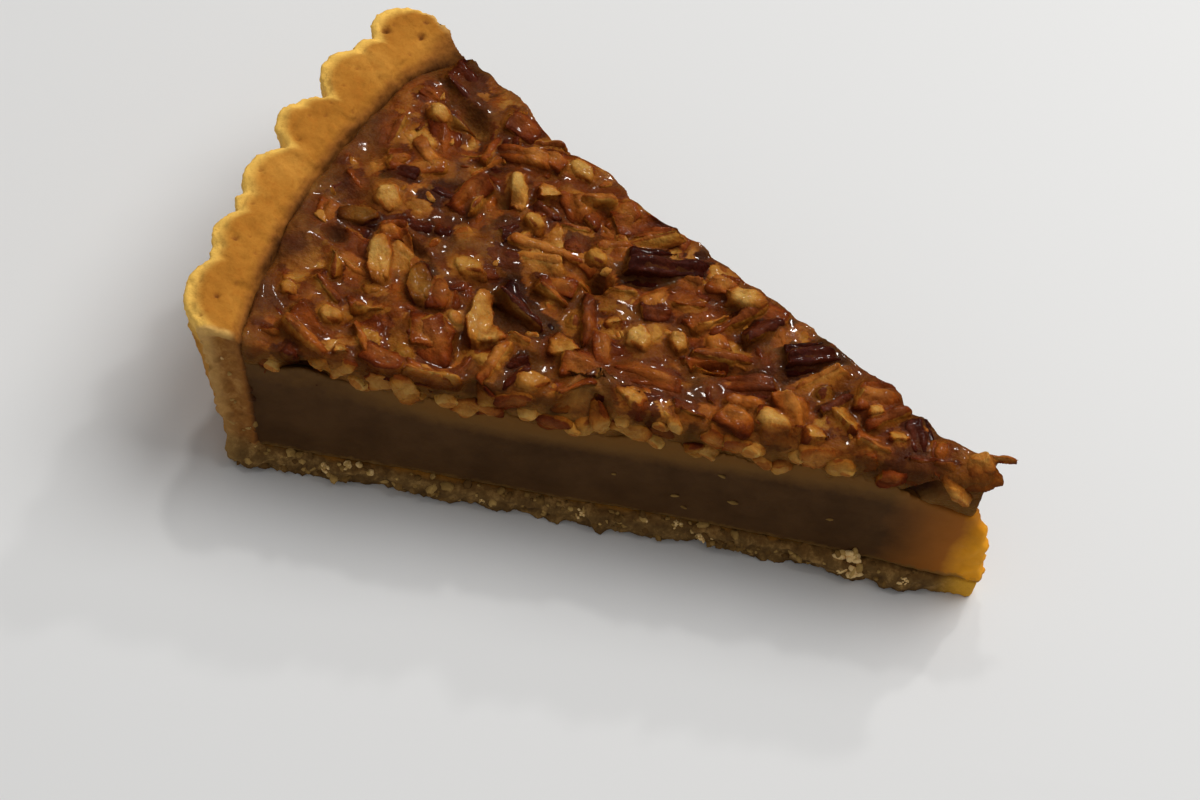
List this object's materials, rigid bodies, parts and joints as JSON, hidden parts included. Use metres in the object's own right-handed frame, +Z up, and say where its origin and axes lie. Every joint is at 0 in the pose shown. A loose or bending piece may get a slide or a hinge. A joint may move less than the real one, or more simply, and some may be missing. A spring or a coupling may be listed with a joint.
{
  "type": "slice of pecan pie",
  "caption": "Wedge of pecan tart to be served or eaten: fluted pastry shell, brown filling and a layer of glazed chopped pecans on top, cut straight on both sides.",
  "frame": {"origin": "middle of the bounding box in plan, at the level of the flat underside", "axes": "+X towards the point of the slice, -X towards the fluted rim, +Z up out of the nut layer"},
  "size_m": [0.1444, 0.0852, 0.0355],
  "materials": {
    "crust": "baked shortcrust, dry and crumbly, golden tan",
    "filling": "soft smooth brown sugar filling, satin, amber where thin",
    "pecan_topping": "chopped pecans in a clear brown glaze, glossy"
  },
  "bodies": {
    "root": {"crust": "crust", "filling": "filling", "pecan_topping": "pecan_topping"}
  },
  "joints": []
}
